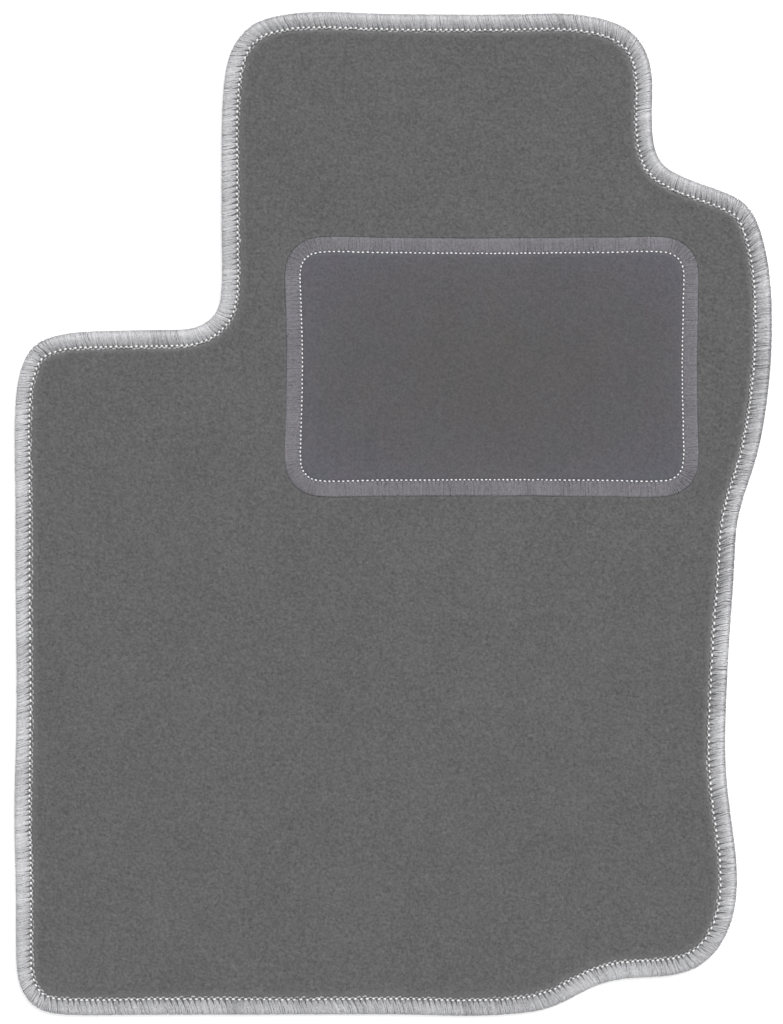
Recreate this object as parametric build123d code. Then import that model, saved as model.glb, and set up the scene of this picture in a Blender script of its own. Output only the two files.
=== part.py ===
from build123d import *
import math
import os

# Driver's floor mat: tufted velour carpet on a latex precoat and an anti-slip rubber sheet,
# overlocked round its edge with a thick yarn, with a bound heel pad sewn on top.
# Origin at the centre of the outline on the floor plane, +X right across the car,
# +Y forwards to the pedals, +Z up through the pile. Millimetres.
# An inset is a distance inwards from the outside of the yarn, of the mat or of the pad.

# ---- layer thicknesses ----
T_BACKING = 1.8          # anti-slip rubber sheet
T_PRECOAT = 0.5          # latex that locks the tufts
T_PRIMARY = 0.5          # woven cloth the tufts are stitched through
T_PILE = 4.6             # velour above the cloth
PILE_ROUND = 1.1         # rounded shoulder of the pile

# ---- overlocked edge of the mat ----
BIND_WALL = 1.3          # yarn outside the cut edge
BIND_BOTTOM = 0.8        # yarn under the edge, sunk flush into the rubber
BIND_TOP = 1.25          # yarn over the edge
BIND_WIDTH = 12.2        # outer edge to the inner end of the yarn
BIND_ROUND = 2.0         # rounding of the outer corners
RIM_PILE = 1.8           # pile height squeezed under the yarn
NEEDLE_INSET = 11.0
NEEDLE_R = 0.5
LOOPER_INSET = 12.72
LOOPER_R = 0.33

# ---- heel pad ----
PAD_LEFT, PAD_RIGHT = -75.9, 213.5     # widest places, near the corners
PAD_REAR, PAD_FRONT = 11.95, 193.7
PAD_CORNER_R = 25.0
PAD_BOW_LEFT, PAD_BOW_RIGHT = 1.3, 1.0  # the sewn sides pull in a little at mid-length
PAD_BOW_REAR, PAD_BOW_FRONT = 0.6, 0.8
PAD_SIDE_PARTS = 8       # station spacings along a side
PAD_CORNER_PARTS = 4     # station spacings round a corner
PAD_SEAT = 2.4           # pile height squeezed under the pad
PAD_T_BACKING = 1.0
PAD_T_PILE = 2.4
PAD_PILE_ROUND = 0.7
PAD_BIND_WALL = 1.0
PAD_BIND_BOTTOM = 0.6
PAD_BIND_TOP = 0.95
PAD_BIND_WIDTH = 11.4
PAD_BIND_ROUND = 0.9
PAD_RIM_PILE = 0.8
PAD_NEEDLE_INSET = 9.3   # needle thread of the pad's own overlock
PAD_NEEDLE_R = 0.33
SEAM_INSET = 10.7        # lockstitch seam that holds the pad to the mat
SEAM_R = 0.42            # its thread on top of the pad
BOBBIN_R = 0.35          # its thread under the mat

# ---- clearances and overlaps ----
RIM_GAP = 0.05           # between yarn and layers
TUFT_GAP = 0.15          # between the yarn's inner end and the full-height pile
PAD_CORE_GAP = 0.1       # between the pad yarn's inner end and the full-depth layers
THREAD_GAP = 0.25        # between an underside thread and the rubber beside it
GROOVE_HEADROOM = 0.2    # groove height beyond the bobbin thread's diameter
POCKET_GAP = 0.25        # round the pad, where it sinks into the pile
FLOOR_GAP = 0.06         # underside threads above the floor plane
SURFACE_GAP = 0.01       # top threads above the yarn
CORE_LAP = 0.2           # overlap of the two steps of the rubber sheet
PAD_CORE_LAP = 0.1       # the same for the pad's backing
CUT_OVER = 1             # how far cutting solids run past the material

# ---- spacing of the stations on an inset outline ----
STATION_STEP = 26.0      # longest spacing, where the curve is straight
STATION_TURN = 0.22      # largest turn in radians, where it is tight

# Outline of the mat at the outside of the yarn: (x, y) stations on a closed smooth curve,
# anticlockwise from the middle of the rear edge.
MAT_STATIONS = [
    (6.1, -350.4), (36.2, -351.2), (83.5, -350.4), (113.3, -344.4), (141.2, -330.6),
    (160.5, -325.6), (196.4, -322.8), (214.5, -316.5), (229.2, -301.7), (238.0, -280.6),
    (240.7, -254.1), (236.4, -210.7), (233.2, -183.2), (233.0, -132.9), (235.9, -78.4),
    (239.0, -31.5), (241.0, -5.6), (252.8, 34.6), (261.6, 79.2), (265.2, 123.5),
    (264.0, 162.3), (257.7, 195.6), (246.3, 217.0), (230.7, 225.7), (202.2, 236.4),
    (187.9, 245.8), (181.7, 264.2), (181.5, 296.5), (177.7, 321.3), (166.4, 337.4),
    (151.0, 345.1), (124.9, 349.9), (86.3, 349.9), (29.2, 349.7), (-13.1, 350.5),
    (-60.2, 351.2), (-83.1, 348.3), (-99.4, 341.9), (-112.6, 325.8), (-118.5, 301.8),
    (-120.2, 254.8), (-120.2, 192.6), (-120.2, 159.0), (-124.4, 140.9), (-135.2, 131.8),
    (-154.8, 128.8), (-205.2, 127.9), (-233.6, 125.1), (-251.6, 117.2), (-260.8, 100.4),
    (-264.6, 76.6), (-265.0, 31.9), (-264.5, -10.5), (-264.4, -71.9), (-264.0, -125.6),
    (-264.7, -173.6), (-265.1, -221.8), (-264.1, -269.4), (-263.9, -308.7), (-260.6, -331.8),
    (-251.9, -344.1), (-226.8, -350.7), (-195.4, -350.9), (-142.1, -350.6), (-97.3, -350.7),
    (-49.6, -350.6),
]

# ---- heights ----
Z_PRECOAT = T_BACKING
Z_PRIMARY = Z_PRECOAT + T_PRECOAT
Z_PILE = Z_PRIMARY + T_PRIMARY
Z_TOP = Z_PILE + T_PILE
Z_RIM = Z_PILE + RIM_PILE
Z_BIND_TOP = Z_RIM + RIM_GAP + BIND_TOP
Z_SEAT = Z_PILE + PAD_SEAT
Z_PAD = Z_SEAT + RIM_GAP
Z_PAD_PILE = Z_PAD + PAD_T_BACKING
Z_PAD_TOP = Z_PAD_PILE + PAD_T_PILE
Z_PAD_RIM = Z_PAD_PILE + PAD_RIM_PILE
Z_PAD_BIND_TOP = Z_PAD_RIM + RIM_GAP + PAD_BIND_TOP

# ---- insets of the layers ----
LAYER_INSET = BIND_WALL + RIM_GAP
TUFT_INSET = BIND_WIDTH + TUFT_GAP
BACK_INSET = LOOPER_INSET + LOOPER_R + THREAD_GAP
PAD_LAYER_INSET = PAD_BIND_WALL + RIM_GAP
PAD_CORE_INSET = PAD_BIND_WIDTH + PAD_CORE_GAP


def pad_stations():
    """Stations round the heel pad, anticlockwise: round corners and slightly hollow sides."""
    left, right = PAD_LEFT + PAD_CORNER_R, PAD_RIGHT - PAD_CORNER_R
    rear, front = PAD_REAR + PAD_CORNER_R, PAD_FRONT - PAD_CORNER_R
    # side start, side end, bow inwards (x, y), centre of the corner that follows, its first angle
    runs = [
        ((left, PAD_REAR), (right, PAD_REAR), (0, PAD_BOW_REAR), (right, rear), -90),
        ((PAD_RIGHT, rear), (PAD_RIGHT, front), (-PAD_BOW_RIGHT, 0), (right, front), 0),
        ((right, PAD_FRONT), (left, PAD_FRONT), (0, -PAD_BOW_FRONT), (left, front), 90),
        ((PAD_LEFT, front), (PAD_LEFT, rear), (PAD_BOW_LEFT, 0), (left, rear), 180),
    ]
    stations = []
    for start, end, bow, centre, first_angle in runs:
        for k in range(1, PAD_SIDE_PARTS):
            t = k / PAD_SIDE_PARTS
            pull = math.sin(math.pi * t) ** 2
            stations.append((start[0] + (end[0] - start[0]) * t + bow[0] * pull,
                             start[1] + (end[1] - start[1]) * t + bow[1] * pull))
        for k in range(PAD_CORNER_PARTS + 1):
            angle = math.radians(first_angle + 90 * k / PAD_CORNER_PARTS)
            stations.append((centre[0] + PAD_CORNER_R * math.cos(angle),
                             centre[1] + PAD_CORNER_R * math.sin(angle)))
    return stations


def closed_curve(points):
    return Edge.make_spline([Vector(x, y, 0) for x, y in points], periodic=True)


class Outline:
    """A closed smooth outline on the floor plane that can be moved inwards."""

    def __init__(self, stations, samples, wire_parts):
        self.curve = closed_curve(stations)
        self.samples = [(self.curve.position_at(i / samples), self.curve.tangent_at(i / samples))
                        for i in range(samples)]
        self.wire_parts = wire_parts
        self.wires = {}

    def inset_points(self, inset):
        """Points on the outline moved inwards, closer together where the curve is tight."""
        points = [(p.X - t.Y * inset, p.Y + t.X * inset) for p, t in self.samples]
        weight = [0.0]
        for i, here in enumerate(points):
            before, after = points[i - 1], points[(i + 1) % len(points)]
            step = math.hypot(after[0] - here[0], after[1] - here[1])
            heading_in = math.atan2(here[1] - before[1], here[0] - before[0])
            heading_out = math.atan2(after[1] - here[1], after[0] - here[0])
            turn = abs((heading_out - heading_in + math.pi) % (2 * math.pi) - math.pi)
            weight.append(weight[-1] + step / STATION_STEP + turn / STATION_TURN)
        count = int(round(weight[-1]))
        picked, k = [], 0
        for j in range(count):
            target = weight[-1] * j / count
            while weight[k + 1] <= target:
                k += 1
            picked.append(points[k])
        return picked

    def wire(self, inset):
        """The inset outline, split into equal lengths so that areas and volumes are exact."""
        if inset not in self.wires:
            edge = self.curve if inset == 0 else closed_curve(self.inset_points(inset))
            n = self.wire_parts
            self.wires[inset] = Wire([edge.trim(i / n, (i + 1) / n) for i in range(n)])
        return self.wires[inset]

    def prism(self, inset, z0, z1):
        """The region inside the inset outline, from height z0 to z1."""
        solid = Solid.extrude(Face(self.wire(inset)), Vector(0, 0, z1 - z0))
        return solid.moved(Location((0, 0, z0)))

    def cord(self, inset, radius, z):
        """A closed round thread along the inset outline, its centre at height z."""
        path = self.wire(inset).moved(Location((0, 0, z)))
        section = Plane(origin=path.position_at(0), z_dir=path.tangent_at(0)) * Circle(radius)
        return sweep(section, path=path, is_frenet=False)

    def thread_on(self, inset, radius, z_surface):
        return self.cord(inset, radius, z_surface + radius + SURFACE_GAP)

    def thread_under(self, inset, radius):
        return self.cord(inset, radius, radius + FLOOR_GAP)


def loops_at(solid, z):
    """The edges of a solid that lie flat at height z."""
    return [e for e in solid.edges()
            if abs(e.bounding_box().min.Z - z) < 1e-3 and abs(e.bounding_box().max.Z - z) < 1e-3]


def stepped_sheet(outline, rim_inset, core_inset, z_base, z_step, z_top, lap):
    """A sheet whose underside is stepped up round the rim to make room for the yarn."""
    rim = outline.prism(rim_inset, z_step, z_top)
    return rim.fuse(outline.prism(core_inset, z_base, z_step + lap))


def velour(outline, rim_inset, tuft_inset, z_base, z_rim, z_top, shoulder):
    """Pile at full height inside, with a rounded shoulder, and squeezed low at the rim."""
    tufts = outline.prism(tuft_inset, z_base, z_top)
    tufts = tufts.fillet(shoulder, loops_at(tufts, z_top))
    return outline.prism(rim_inset, z_base, z_rim).fuse(tufts)


def binding(outline, wall, bottom, width, rounding, z_base, z_rim, z_bind_top, z_pile_top):
    """Yarn wrapped over, round and under the edge: a C section open inwards."""
    yarn = outline.prism(0, z_base, z_bind_top)
    yarn = yarn.fillet(rounding, loops_at(yarn, z_bind_top) + loops_at(yarn, z_base))
    yarn = yarn.cut(outline.prism(width, z_base - CUT_OVER, z_pile_top + CUT_OVER))
    return yarn.cut(outline.prism(wall, z_base + bottom, z_rim + RIM_GAP))


def antislip_backing():
    """Rubber sheet with a groove in its underside for the bobbin thread."""
    sheet = stepped_sheet(mat, LAYER_INSET, BACK_INSET, 0, BIND_BOTTOM + RIM_GAP,
                          T_BACKING, CORE_LAP)
    groove = pad.prism(SEAM_INSET - BOBBIN_R - THREAD_GAP, -CUT_OVER,
                       2 * BOBBIN_R + GROOVE_HEADROOM)
    groove = groove.cut(pad.prism(SEAM_INSET + BOBBIN_R + THREAD_GAP, -2 * CUT_OVER, T_BACKING))
    return sheet.cut(groove)


def carpet_pile():
    """Velour with a pocket that the heel pad sinks into."""
    pile = velour(mat, LAYER_INSET, TUFT_INSET, Z_PILE, Z_RIM, Z_TOP, PILE_ROUND)
    return pile.cut(pad.prism(-POCKET_GAP, Z_SEAT, Z_TOP + 5 * CUT_OVER))


def keep(name, shape):
    solids = shape.solids()
    part = Compound(children=list(solids)) if len(solids) > 1 else solids[0]
    export_step(part, f"parts/{name}.step")


os.makedirs("parts", exist_ok=True)
mat = Outline(MAT_STATIONS, samples=2400, wire_parts=24)
pad = Outline(pad_stations(), samples=1600, wire_parts=16)

# ---- carpet layers ----
keep("antislip_backing", antislip_backing())
keep("latex_precoat", mat.prism(LAYER_INSET, Z_PRECOAT, Z_PRIMARY))
keep("primary_backing", mat.prism(LAYER_INSET, Z_PRIMARY, Z_PILE))
keep("carpet_pile", carpet_pile())

# ---- edge of the mat ----
keep("edge_binding_yarn", binding(mat, BIND_WALL, BIND_BOTTOM, BIND_WIDTH, BIND_ROUND,
                                  0, Z_RIM, Z_BIND_TOP, Z_TOP))
keep("edge_needle_thread", mat.thread_on(NEEDLE_INSET, NEEDLE_R, Z_BIND_TOP))
keep("edge_looper_thread", mat.thread_under(LOOPER_INSET, LOOPER_R))

# ---- heel pad ----
keep("heel_pad_backing", stepped_sheet(pad, PAD_LAYER_INSET, PAD_CORE_INSET, Z_PAD,
                                       Z_PAD + PAD_BIND_BOTTOM + RIM_GAP, Z_PAD_PILE,
                                       PAD_CORE_LAP))
keep("heel_pad_pile", velour(pad, PAD_LAYER_INSET, PAD_CORE_INSET,
                             Z_PAD_PILE, Z_PAD_RIM, Z_PAD_TOP, PAD_PILE_ROUND))
keep("heel_pad_binding_yarn", binding(pad, PAD_BIND_WALL, PAD_BIND_BOTTOM, PAD_BIND_WIDTH,
                                      PAD_BIND_ROUND, Z_PAD, Z_PAD_RIM, Z_PAD_BIND_TOP,
                                      Z_PAD_TOP))
keep("heel_pad_needle_thread", pad.thread_on(PAD_NEEDLE_INSET, PAD_NEEDLE_R, Z_PAD_BIND_TOP))
keep("heel_pad_seam_thread", pad.thread_on(SEAM_INSET, SEAM_R, Z_PAD_BIND_TOP))
keep("heel_pad_bobbin_thread", pad.thread_under(SEAM_INSET, BOBBIN_R))
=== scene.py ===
"""Carpet floor mat with a bound edge and a sewn-on heel pad, lying flat with its pile up (+Z).

Lengths are in mm in the CAD frame until make_mesh turns them into metres; the floor is near z = 0.
Each outline runs anticlockwise seen from above. "Inset" is the distance inwards from an outline,
and "arc length" is measured along it from its first point.
"""
import math

import bpy
import numpy as np
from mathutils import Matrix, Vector
from mathutils.kdtree import KDTree


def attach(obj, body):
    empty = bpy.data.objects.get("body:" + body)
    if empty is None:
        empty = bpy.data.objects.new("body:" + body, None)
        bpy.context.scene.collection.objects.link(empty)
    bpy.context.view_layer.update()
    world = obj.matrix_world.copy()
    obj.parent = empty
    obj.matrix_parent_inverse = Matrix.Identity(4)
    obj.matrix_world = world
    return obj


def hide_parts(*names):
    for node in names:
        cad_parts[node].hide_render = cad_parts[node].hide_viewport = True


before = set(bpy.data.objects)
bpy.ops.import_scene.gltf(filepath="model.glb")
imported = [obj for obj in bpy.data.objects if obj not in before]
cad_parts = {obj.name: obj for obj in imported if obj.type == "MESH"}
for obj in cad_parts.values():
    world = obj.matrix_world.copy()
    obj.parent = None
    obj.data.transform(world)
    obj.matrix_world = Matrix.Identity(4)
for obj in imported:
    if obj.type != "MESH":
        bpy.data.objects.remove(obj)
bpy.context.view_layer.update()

MM = 0.001

# ------------------------------------------------------------------ main dimensions, mm
PILE_FOOT_Z = 2.8
PILE_TOP_Z = 7.4
PAD_TOP_Z = 8.65
NEEDLE_INSET = 11.0         # needle line of the edge binding, from the mat's outline
PAD_NEEDLE_INSET = 9.3      # needle line of the pad's binding, from the pad's outline
PAD_SEAM_INSET = 10.7       # seam that holds the pad to the mat
STRANDS = 6                 # yarn strands in the bundle of each stitch
EDGE_PITCH = 3.85           # typical stitch length of the edge
PAD_PITCH = 2.9             # wanted stitch length of the pad's binding
PAD_X = (-75.9, 213.5)
PAD_Y = (11.95, 193.7)
PAD_CORNER_R = 25.0
FIELD_X = (-262, 262.01)    # grids of the pile and of the underside
FIELD_Y = (-348, 348.01)
TO_LIGHT = np.array([0.57, 0.82])   # towards the key light, in plan

# the mat's outline: x, y
OUTLINE = np.array([
    (6.1, -350.4), (36.2, -351.2), (83.5, -350.4), (113.3, -344.4), (141.2, -330.6),
    (160.5, -325.6), (196.4, -322.8), (214.5, -316.5), (229.2, -301.7), (238.0, -280.6),
    (240.7, -254.1), (236.4, -210.7), (233.2, -183.2), (233.0, -132.9), (235.9, -78.4),
    (239.0, -31.5), (241.0, -5.6), (252.8, 34.6), (261.6, 79.2), (265.2, 123.5),
    (264.0, 162.3), (257.7, 195.6), (246.3, 217.0), (230.7, 225.7), (202.2, 236.4),
    (187.9, 245.8), (181.7, 264.2), (181.5, 296.5), (177.7, 321.3), (166.4, 337.4),
    (151.0, 345.1), (124.9, 349.9), (86.3, 349.9), (29.2, 349.7), (-13.1, 350.5),
    (-60.2, 351.2), (-83.1, 348.3), (-99.4, 341.9), (-112.6, 325.8), (-118.5, 301.8),
    (-120.2, 254.8), (-120.2, 192.6), (-120.2, 159.0), (-124.4, 140.9), (-135.2, 131.8),
    (-154.8, 128.8), (-205.2, 127.9), (-233.6, 125.1), (-251.6, 117.2), (-260.8, 100.4),
    (-264.6, 76.6), (-265.0, 31.9), (-264.5, -10.5), (-264.4, -71.9), (-264.0, -125.6),
    (-264.7, -173.6), (-265.1, -221.8), (-264.1, -269.4), (-263.9, -308.7), (-260.6, -331.8),
    (-251.9, -344.1), (-226.8, -350.7), (-195.4, -350.9), (-142.1, -350.6), (-97.3, -350.7),
    (-49.6, -350.6)], float)

# how the sewing wanders: arc length, stitch pitch, inset of the needle line
SEWING = np.array([
    (35, 3.86, 11.2), (109, 3.75, 11.4), (175, 3.5, 11.8), (259, 4.5, 11.5), (333, 4.1, 11.8),
    (401, 4.3, 11.6), (470, 4.45, 11.4), (539, 4.0, 10.8), (609, 3.4, 11.7), (681, 3.35, 11.9),
    (757, 4.05, 10.8), (828, 3.7, 11.2), (892, 3.6, 11.2), (977, 4.0, 11.0), (1047, 3.9, 11.0),
    (1117, 3.6, 11.2), (1192, 3.8, 10.7), (1274, 3.8, 10.8), (1344, 3.9, 11.4),
    (1406, 3.5, 11.2), (1467, 3.55, 11.4), (1549, 3.6, 10.2), (1623, 3.8, 10.55),
    (1693, 4.4, 10.1), (1763, 4.4, 10.2), (1833, 3.8, 10.5), (1903, 3.5, 11.0),
    (1973, 3.9, 10.4), (2060, 3.9, 11.0), (2130, 4.3, 11.2), (2200, 4.3, 10.9)])
PAD_SEWING = np.array([
    (22, 3.35, 11.35), (67, 3.0, 11.35), (112, 3.0, 11.35), (157, 3.35, 11.35),
    (202, 3.45, 11.2), (235, 3.1, 10.8), (263, 2.84, 10.5), (308, 2.97, 10.5),
    (352, 3.03, 10.5), (411, 3.3, 10.6), (459, 3.44, 10.7), (504, 3.03, 10.75),
    (549, 3.03, 10.8), (593, 3.23, 10.8), (638, 3.43, 10.7), (699, 2.75, 10.95),
    (745, 3.0, 11.15), (789, 3.05, 11.1), (838, 2.75, 11.15), (896, 3.45, 11.3)])
PITCH_COLUMN, INSET_COLUMN = 1, 2


# ------------------------------------------------------------------ outlines
def pad_outline():
    """A rounded rectangle whose sides bow slightly inwards."""
    (x0, x1), (y0, y1), r = PAD_X, PAD_Y, PAD_CORNER_R
    left, right, low, high = x0 + r, x1 - r, y0 + r, y1 - r
    points = []

    def side(start, end, inward, bow):
        for k in range(1, 8):
            t = k / 8
            pull = bow * math.sin(math.pi * t) ** 2
            points.append([a + (b - a) * t + n * pull for a, b, n in zip(start, end, inward)])

    def corner(x, y, first_angle):
        for k in range(5):
            angle = math.radians(first_angle + 90 * k / 4)
            points.append([x + r * math.cos(angle), y + r * math.sin(angle)])

    side((left, y0), (right, y0), (0, 1), bow=0.6)
    corner(right, low, -90)
    side((x1, low), (x1, high), (-1, 0), bow=1.0)
    corner(right, high, 0)
    side((right, y1), (left, y1), (0, -1), bow=0.8)
    corner(left, high, 90)
    side((x0, high), (x0, low), (1, 0), bow=1.3)
    corner(left, low, 180)
    return np.array(points, float)


class Loop:
    """A closed cubic spline through stations, read by arc length, with its inward normal."""

    def __init__(self, stations, samples=12000):
        count = len(stations)
        span = np.linalg.norm(np.roll(stations, -1, 0) - stations, axis=1)
        before = np.roll(span, 1)
        # second derivatives at the stations
        system = np.zeros((count, count))
        target = np.zeros((count, 2))
        for i in range(count):
            after = (i + 1) % count
            system[i, i - 1] += before[i]
            system[i, i] += 2 * (before[i] + span[i])
            system[i, after] += span[i]
            target[i] = 6 * ((stations[after] - stations[i]) / span[i]
                             - (stations[i] - stations[i - 1]) / before[i])
        bend = np.linalg.solve(system, target)

        knots = np.concatenate([[0], np.cumsum(span)])
        t = np.linspace(0, knots[-1], samples, endpoint=False)
        i = np.clip(np.searchsorted(knots, t, side="right") - 1, 0, count - 1)
        j = (i + 1) % count
        width = span[i][:, None]
        done = (t - knots[i])[:, None]
        left = width - done
        self.pos = ((bend[i] * left ** 3 + bend[j] * done ** 3) / (6 * width)
                    + (stations[i] / width - bend[i] * width / 6) * left
                    + (stations[j] / width - bend[j] * width / 6) * done)
        tangent = np.roll(self.pos, -1, 0) - np.roll(self.pos, 1, 0)
        self.tangent = tangent / np.linalg.norm(tangent, axis=1)[:, None]
        self.normal = np.stack([-self.tangent[:, 1], self.tangent[:, 0]], 1)
        self.s = np.concatenate([[0], np.cumsum(self.steps(0))])
        self.length = self.s[-1]

    def steps(self, inset):
        """Distances between neighbouring samples of the line at an inset."""
        line = self.pos + self.normal * inset
        return np.linalg.norm(np.roll(line, -1, 0) - line, axis=1)

    def _read(self, table, s):
        return np.stack([np.interp(s, self.s[:-1], table[:, k], period=self.length)
                         for k in range(2)], -1)

    def at(self, s, inset):
        """Points at arc length s, moved inwards."""
        normal = self._read(self.normal, s)
        normal /= np.linalg.norm(normal, axis=-1, keepdims=True)
        return self._read(self.pos, s) + normal * np.asarray(inset)[..., None]

    def dirs(self, s):
        """Unit tangent and inward normal at arc length s."""
        tangent = self._read(self.tangent, s)
        tangent /= np.linalg.norm(tangent, axis=-1, keepdims=True)
        return tangent, np.stack([-tangent[..., 1], tangent[..., 0]], -1)


def around(table, column, loop, s):
    """A column of a table keyed by arc length, read round a closed loop."""
    return np.interp(s, table[:, 0], table[:, column], period=loop.length)


def stitch_places(loop, inset, pitch):
    """Arc lengths of stitches at a pitch (a number, or one per sample) on the line at an inset."""
    stitches = np.concatenate([[0], np.cumsum(loop.steps(inset) / pitch)])
    count = int(round(stitches[-1]))
    return np.interp(np.arange(count) * stitches[-1] / count, stitches, loop.s)


def wandering_places(loop, inset, sewing):
    return stitch_places(loop, inset, around(sewing, PITCH_COLUMN, loop, loop.s[:-1]))


def needle_shift(loop, s, sewing, inset):
    """How far inside its nominal inset the needle line lies."""
    return around(sewing, INSET_COLUMN, loop, s) - inset


MAT = Loop(OUTLINE)
PAD = Loop(pad_outline())

# how far the outward side of the mat's edge faces the key light: arc length, cosine
facing_s = np.arange(0, MAT.length, 4.0)
FACING = np.stack([facing_s, -(MAT.dirs(facing_s)[1] @ TO_LIGHT)], 1)


# ------------------------------------------------------------------ noise and ramps
def smooth_noise(rng, count, width):
    """Closed random sequence, correlated over width samples, with unit spread."""
    k = np.fft.rfftfreq(count) * width
    spectrum = np.fft.rfft(rng.standard_normal(count)) * np.exp(-(k * 2.2) ** 2)
    values = np.fft.irfft(spectrum, count)
    return values / (values.std() + 1e-9)


def field_noise(rng, shape, width):
    """Random field, correlated over width cells, with unit spread."""
    ky = np.fft.fftfreq(shape[0])[:, None] * width
    kx = np.fft.rfftfreq(shape[1])[None, :] * width
    spectrum = np.fft.rfft2(rng.standard_normal(shape))
    values = np.fft.irfft2(spectrum * np.exp(-2.2 ** 2 * (kx ** 2 + ky ** 2)), shape)
    return values / values.std()


def ramp(x, start, end):
    """Smooth step from 0 at start to 1 at end."""
    t = np.clip((x - start) / (end - start), 0, 1)
    return t * t * (3 - 2 * t)


def bell(x, centre, width):
    return np.exp(-((x - centre) / width) ** 2)


def unit(x):
    return np.clip(x, 0, 1)


# ------------------------------------------------------------------ meshes
def make_mesh(name, verts, faces, tone=None):
    """A smooth object from vertices in mm and a list of face arrays, one per corner count.

    tone is a value per vertex that the materials read.
    """
    mesh = bpy.data.meshes.new(name)
    verts = (np.asarray(verts, np.float64) * MM).astype(np.float32)
    corners, starts = [], []
    used = 0
    for group in faces:
        group = np.asarray(group, np.int32)
        corners.append(group.ravel())
        starts.append(used + np.arange(len(group), dtype=np.int32) * group.shape[1])
        used += group.size
    corners, starts = np.concatenate(corners), np.concatenate(starts)
    mesh.vertices.add(len(verts))
    mesh.vertices.foreach_set("co", verts.ravel())
    mesh.loops.add(len(corners))
    mesh.loops.foreach_set("vertex_index", corners)
    mesh.polygons.add(len(starts))
    mesh.polygons.foreach_set("loop_start", starts)
    mesh.update(calc_edges=True)
    mesh.validate()
    mesh.polygons.foreach_set("use_smooth", np.full(len(mesh.polygons), True))
    if tone is not None:
        attribute = mesh.attributes.new("tone", "FLOAT", "POINT")
        attribute.data.foreach_set("value", np.asarray(tone, np.float32))
    return add_object(name, mesh)


def add_object(name, data):
    ob = bpy.data.objects.new(name, data)
    bpy.context.scene.collection.objects.link(ob)
    return ob


def place(ob, material, node, slot):
    """Finishes a piece: its material, the CAD node it stands for and its body. The slot argument is
    not used.
    """
    ob.data.materials.append(MATERIALS[material])
    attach(ob, "root")
    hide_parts(node)


def tubes(paths, radii, reference, sides, tone, flat=1.0):
    """Capped tubes along paths (n, m, 3), as vertices, faces and tone.

    reference (n, 3) is a direction no path follows; flat scales the width across it.
    """
    n, m, _ = paths.shape
    along = np.empty_like(paths)
    along[:, 1:-1] = paths[:, 2:] - paths[:, :-2]
    along[:, 0] = paths[:, 1] - paths[:, 0]
    along[:, -1] = paths[:, -1] - paths[:, -2]
    along /= np.linalg.norm(along, axis=-1, keepdims=True)
    across = np.cross(along, reference[:, None, :])
    across /= np.linalg.norm(across, axis=-1, keepdims=True)
    upright = np.cross(along, across)
    angle = (np.arange(sides) * 2 * np.pi / sides)[None, None, :, None]
    ring = (across[:, :, None, :] * (np.cos(angle) * flat)
            + upright[:, :, None, :] * np.sin(angle))
    verts = paths[:, :, None, :] + ring * radii[:, :, None, None]
    index = np.arange(n * m * sides).reshape(n, m, sides)
    beside = np.roll(index, -1, 2)
    quads = np.stack([index[:, :-1], index[:, 1:], beside[:, 1:], beside[:, :-1]], -1)
    caps = np.concatenate([index[:, 0, :], index[:, -1, ::-1]])
    tone = np.repeat(np.broadcast_to(tone, (n, m)).ravel(), sides)
    return verts.reshape(-1, 3), [quads.reshape(-1, 4), caps], tone


def catmull(knots, t):
    """Points at the knot numbers t along smooth curves through knots (n, k, c)."""
    first = 2 * knots[:, :1] - knots[:, 1:2]
    last = 2 * knots[:, -1:] - knots[:, -2:-1]
    p = np.concatenate([first, knots, last], 1)
    t = np.asarray(t, float)
    i = np.clip(t.astype(int), 0, knots.shape[1] - 2)
    f = (t - i)[None, :, None]
    a, b, c, d = p[:, i], p[:, i + 1], p[:, i + 2], p[:, i + 3]
    return 0.5 * (2 * b + (c - a) * f + (2 * a - 5 * b + 4 * c - d) * f ** 2
                  + (3 * b - a - 3 * c + d) * f ** 3)


def thread_points(loop, base, stitch, curve):
    """Points of threads whose curve columns are fraction of a stitch, inset and height.

    base holds the arc lengths of the stitches, so a thread follows their spacing.
    """
    count = len(base)
    closed = np.concatenate([base, base[:1] + loop.length])
    where = np.mod(stitch[:, None] + curve[..., 0], count)
    s = np.interp(where, np.arange(count + 1), closed)
    return np.concatenate([loop.at(s, curve[..., 1]), curve[..., 2:3]], -1)


def level(vectors):
    """Plan vectors with z = 0 added."""
    return np.concatenate([vectors, np.zeros((len(vectors), 1))], 1)


def bundles(count):
    """For each strand its stitch number and its place across the bundle, in stitches."""
    across = (np.tile(np.arange(STRANDS), count) - (STRANDS - 1) / 2) / STRANDS
    return np.repeat(np.arange(count), STRANDS), across


def place_strands(name, chunks, loop, base, stitch, curve, radii, tone, finish):
    """Yarn strands, split into several objects."""
    paths = thread_points(loop, base, stitch, curve)
    reference = level(loop.dirs(base[stitch])[0])
    count = len(stitch)
    for c in range(chunks):
        part = slice(count * c // chunks, count * (c + 1) // chunks)
        verts, faces, tones = tubes(paths[part], radii[part], reference[part], 6, tone[part])
        place(make_mesh("%s_%d" % (name, c + 1), verts, faces, tones), *finish)


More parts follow.
